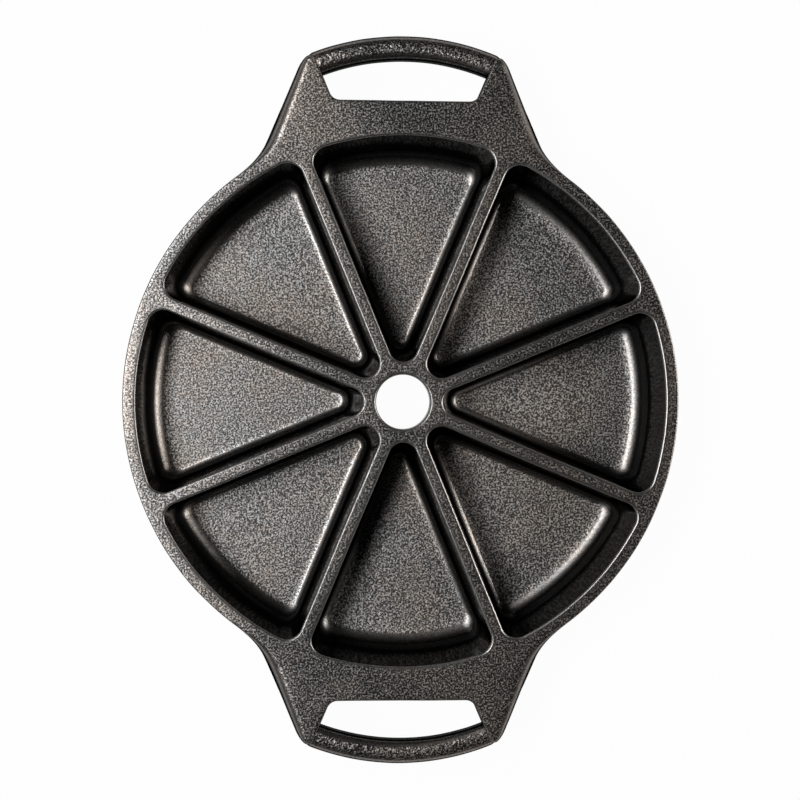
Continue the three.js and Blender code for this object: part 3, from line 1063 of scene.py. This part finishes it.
def speckled(tree, grain, seasoning, shades):
    """The film's colour, scaled from the first shade to the second by the specks."""
    light_and_dark = scaled(tree, grain["Speckle"], *SPECK_RANGE, *shades)
    values = {0: seasoning["Colour"], "Scale": light_and_dark}
    return add_node(tree, "VectorMath", values, operation="SCALE").outputs["Vector"]


def iron_colour(tree, grain, seasoning, wear_and_highlight, shades):
    flats = speckled(tree, grain, seasoning, shades)
    # Steep faces that are not on the outside get the painted shade.
    walls = mixed_colour(tree, grain["Steepness"], flats, PAINTED_WALL_SHADE)
    outside = speckled(tree, grain, seasoning, OUTSIDE_SHADES)
    skin = mixed_colour(tree, grain["Outside"], walls, outside)
    # Last, the lighter edges: rubbed iron and painted highlight.
    return mixed_colour(tree, wear_and_highlight, skin, WORN_AND_HIGHLIGHT_COLOUR)


print("colour of the walls:", PAINTED_WALL_SHADE[:3], "and of the worn edges:", WORN_AND_HIGHLIGHT_COLOUR[:3])

# %% [markdown]
# ## Gloss of the iron
# Gloss tells the skins apart more than colour does. The flats are dull where the film is thin, and their
# light specks are duller than the film. Fillets are smoother, walls are smoother still, and the outside
# is dull all over.

# %% Dullness
FILM_GLOSS = 0.06
WALL_ROUGHNESS = 0.20
OUTSIDE_ROUGHNESS = 0.46
WORN_ROUGHNESS = 0.34


def iron_roughness(tree, grain, seasoning, wear_and_highlight, smoothest, dullest, speck_dullness):
    film = scaled(tree, seasoning["Thinness"], 0.0, 1.0, dullest - FILM_GLOSS, dullest)
    specks = scaled(tree, grain["Speckle"], *SPECK_RANGE, 0.0, speck_dullness)
    flats = math_node(tree, "ADD", film, specks)
    slopes = scaled(tree, grain["Steepness"], 0.0, 1.0, smoothest, WALL_ROUGHNESS)
    inside = mixed_value(tree, grain["Flatness"], slopes, flats)
    skin = mixed_value(tree, grain["Outside"], inside, OUTSIDE_ROUGHNESS)
    return mixed_value(tree, wear_and_highlight, skin, WORN_ROUGHNESS)


print("roughness of walls, worn edges and outside:", WALL_ROUGHNESS, WORN_ROUGHNESS, OUTSIDE_ROUGHNESS)

# %% [markdown]
# ## Three skins of the same iron
# The deck is wiped smooth by hands and cloths, the wells keep a dull skin with a deep grain, and the
# grips are held most and show the deepest grain under a smooth film. They share the groups above and
# differ only in the contrast of their specks, the range of their roughness and the depth of the grain in
# millimetres. The tint darkens the metal at grazing angles, so that the flanks don't mirror the white
# paper too brightly.

# %% The iron materials
EDGE_TINT = (0.10, 0.10, 0.10, 1)
VARNISH_ROUGHNESS = 0.08


def make_iron(name, pieces, shades, smoothest, dullest, speck_dullness, grain_depth):
    material, tree = new_material(name)
    grain = add_node(tree, "Group", node_tree=grain_group).outputs
    seasoning = add_node(tree, "Group", node_tree=seasoning_group).outputs
    wear_and_highlight = worn_and_highlight_share(tree, seasoning)
    relief = {"Height": grain["Height"], "Strength": 1.0, "Distance": grain_depth * MM}
    bump = add_node(tree, "Bump", relief)
    finish = {
        "Base Color": iron_colour(tree, grain, seasoning, wear_and_highlight, shades),
        "Metallic": 1.0,
        "Specular Tint": EDGE_TINT,
        "Coat Weight": grain["Varnish"],
        "Coat Roughness": VARNISH_ROUGHNESS,
        "Roughness": iron_roughness(tree, grain, seasoning, wear_and_highlight, smoothest, dullest, speck_dullness),
        "Normal": bump.outputs["Normal"],
    }
    shader = add_node(tree, "BsdfPrincipled", finish)
    add_node(tree, "OutputMaterial", {"Surface": shader.outputs["BSDF"]})
    for piece in pieces:
        piece.data.materials.append(material)
    return material


deck_iron = make_iron(
    "deck_iron",
    [deck_piece],
    shades=(0.45, 1.82),
    smoothest=0.34,
    dullest=0.345,
    speck_dullness=0.13,
    grain_depth=0.22,
)
well_iron = make_iron(
    "well_iron",
    cup_pieces,
    shades=(0.34, 2.1),
    smoothest=0.36,
    dullest=0.54,
    speck_dullness=0.14,
    grain_depth=0.55,
)
grip_iron = make_iron(
    "grip_iron",
    grip_pieces,
    shades=(0.3, 2.1),
    smoothest=0.30,
    dullest=0.36,
    speck_dullness=0.10,
    grain_depth=0.7,
)
print("materials:", deck_iron.name, well_iron.name, grip_iron.name)

# %% [markdown]
# ## Paper
# The pan lies on a sheet of white paper, which is wide and rises all round to a backdrop, so that no view
# looks past it. Its sizes are in metres. More light would make paper white too, and would spoil the iron.
# So the camera and the iron's reflections see the paper as plain white, and its small matt share keeps a
# faint shadow of the pan.

# %% Floor and backdrop
FLOOR_RADIUS = 12.0
BACKDROP_HEIGHT = 2.7
FLOOR_DROP = 0.0002
FLOOR_POINTS = 64
PAPER_COLOUR = (0.85, 0.85, 0.85, 1)
WHITE_SHARE = 0.97
floor_ring = lifted(arc(HUB, FLOOR_RADIUS, 0, 2 * math.pi, FLOOR_POINTS)[:-1], -FLOOR_DROP)
paper_sheet = Patches()
paper_sheet.fan(floor_ring)
paper_sheet.band([floor_ring, floor_ring + [0, 0, BACKDROP_HEIGHT]])
floor_mesh = bpy.data.meshes.new("studio_floor")
floor_mesh.from_pydata(np.vstack(paper_sheet.points).tolist(), [], paper_sheet.faces)
floor = bpy.data.objects.new("studio_floor", floor_mesh)
bpy.context.scene.collection.objects.link(floor)
paper, tree = new_material("white_paper")
matt = add_node(tree, "BsdfDiffuse", {"Color": PAPER_COLOUR}).outputs["BSDF"]
glow = add_node(tree, "Emission").outputs["Emission"]
rays = add_node(tree, "LightPath").outputs
seen = math_node(tree, "ADD", rays["Is Camera Ray"], rays["Is Glossy Ray"])
seen = math_node(tree, "ADD", seen, rays["Is Transmission Ray"])
white = scaled(tree, seen, 0.0, 1.0, 0.0, WHITE_SHARE)
paper_mix = add_node(tree, "MixShader", {"Fac": white, 1: matt, 2: glow})
add_node(tree, "OutputMaterial", {"Surface": paper_mix.outputs["Shader"]})
floor_mesh.materials.append(paper)
print("faces of the paper:", len(floor_mesh.polygons))

# %% [markdown]
# ## Light
# Two softboxes light the pan in an almost dark room, so that the walls stay dark. The left one leans over
# the pan. The flats mirror its soft edge and get darker towards the right, and the fillets that face left
# shine. The right one stands lower and lights the fillets that face right.

# %% Softboxes
TARGET = Vector((0, 0, HEIGHT)) * MM
WORLD_STRENGTH = 0.0015
world = bpy.data.worlds.new("studio")
bpy.context.scene.world = world
world.use_nodes = True
background = world.node_tree.nodes["Background"]
background.inputs["Color"].default_value = (1, 1, 1, 1)
background.inputs["Strength"].default_value = WORLD_STRENGTH


def softbox(name, azimuth, lean, distance, size, radiance, colour):
    """A rectangle of light that faces the pan. Lean is its angle from straight above, in degrees."""
    lamp = bpy.data.lights.new(name, "AREA")
    lamp.shape = "RECTANGLE"
    lamp.size, lamp.size_y = size
    lamp.energy = radiance * math.pi * size[0] * size[1]
    lamp.color = colour
    level = Vector((math.cos(math.radians(azimuth)), math.sin(math.radians(azimuth)), 0))
    away = level * math.sin(math.radians(lean)) + Vector((0, 0, math.cos(math.radians(lean))))
    holder = bpy.data.objects.new(name, lamp)
    holder.location = TARGET + away * distance
    holder.rotation_euler = (-away).to_track_quat("-Z", "Y").to_euler()
    bpy.context.scene.collection.objects.link(holder)
    return holder


left_softbox = softbox(
    "left_softbox",
    azimuth=174,
    lean=32,
    distance=0.8,
    size=(0.66, 0.2),
    radiance=12.2,
    colour=(0.98, 0.99, 1.0),
)
right_softbox = softbox(
    "right_softbox",
    azimuth=4,
    lean=66,
    distance=1.1,
    size=(0.6, 0.28),
    radiance=9.6,
    colour=(1.0, 0.97, 0.93),
)
print("softboxes in watts:", round(left_softbox.data.energy, 2), round(right_softbox.data.energy, 2))

# %% [markdown]
# ## Camera
# The photo looks almost straight down. The outline's taper gives the tilt of the camera, and the shift of
# the well floors against their mouths gives the place over which it stood. The two differ a little, as in
# a photo that has been cropped, so the frame is shifted by the difference.

# %% Camera
CAMERA_PLACE = Vector((-45.0, 20.0, HEIGHT + 588.6))
CAMERA_LOOK = Vector((30.75, -15.0, -590.0))
FRAME_MIDDLE = Vector((-1.4, 0.97, HEIGHT))
CAMERA_ROLL = math.radians(0.28)
FIELD_OF_VIEW = math.radians(31.82)
lens = bpy.data.cameras.new("photo_camera")
lens.angle = FIELD_OF_VIEW
camera = bpy.data.objects.new("photo_camera", lens)
forward = CAMERA_LOOK.normalized()
right = forward.cross(Vector((-math.sin(CAMERA_ROLL), math.cos(CAMERA_ROLL), 0))).normalized()
up = right.cross(forward)
camera.matrix_world = Matrix((right, up, -forward)).transposed().to_4x4()
camera.location = CAMERA_PLACE * MM
sight = FRAME_MIDDLE - CAMERA_PLACE
frame_width = 2 * math.tan(FIELD_OF_VIEW / 2) * sight.dot(forward)
lens.shift_x, lens.shift_y = sight.dot(right) / frame_width, sight.dot(up) / frame_width
bpy.context.scene.collection.objects.link(camera)
bpy.context.scene.camera = camera
bpy.context.scene.view_settings.view_transform = "Standard"
print("frame shift:", round(lens.shift_x, 4), round(lens.shift_y, 4))
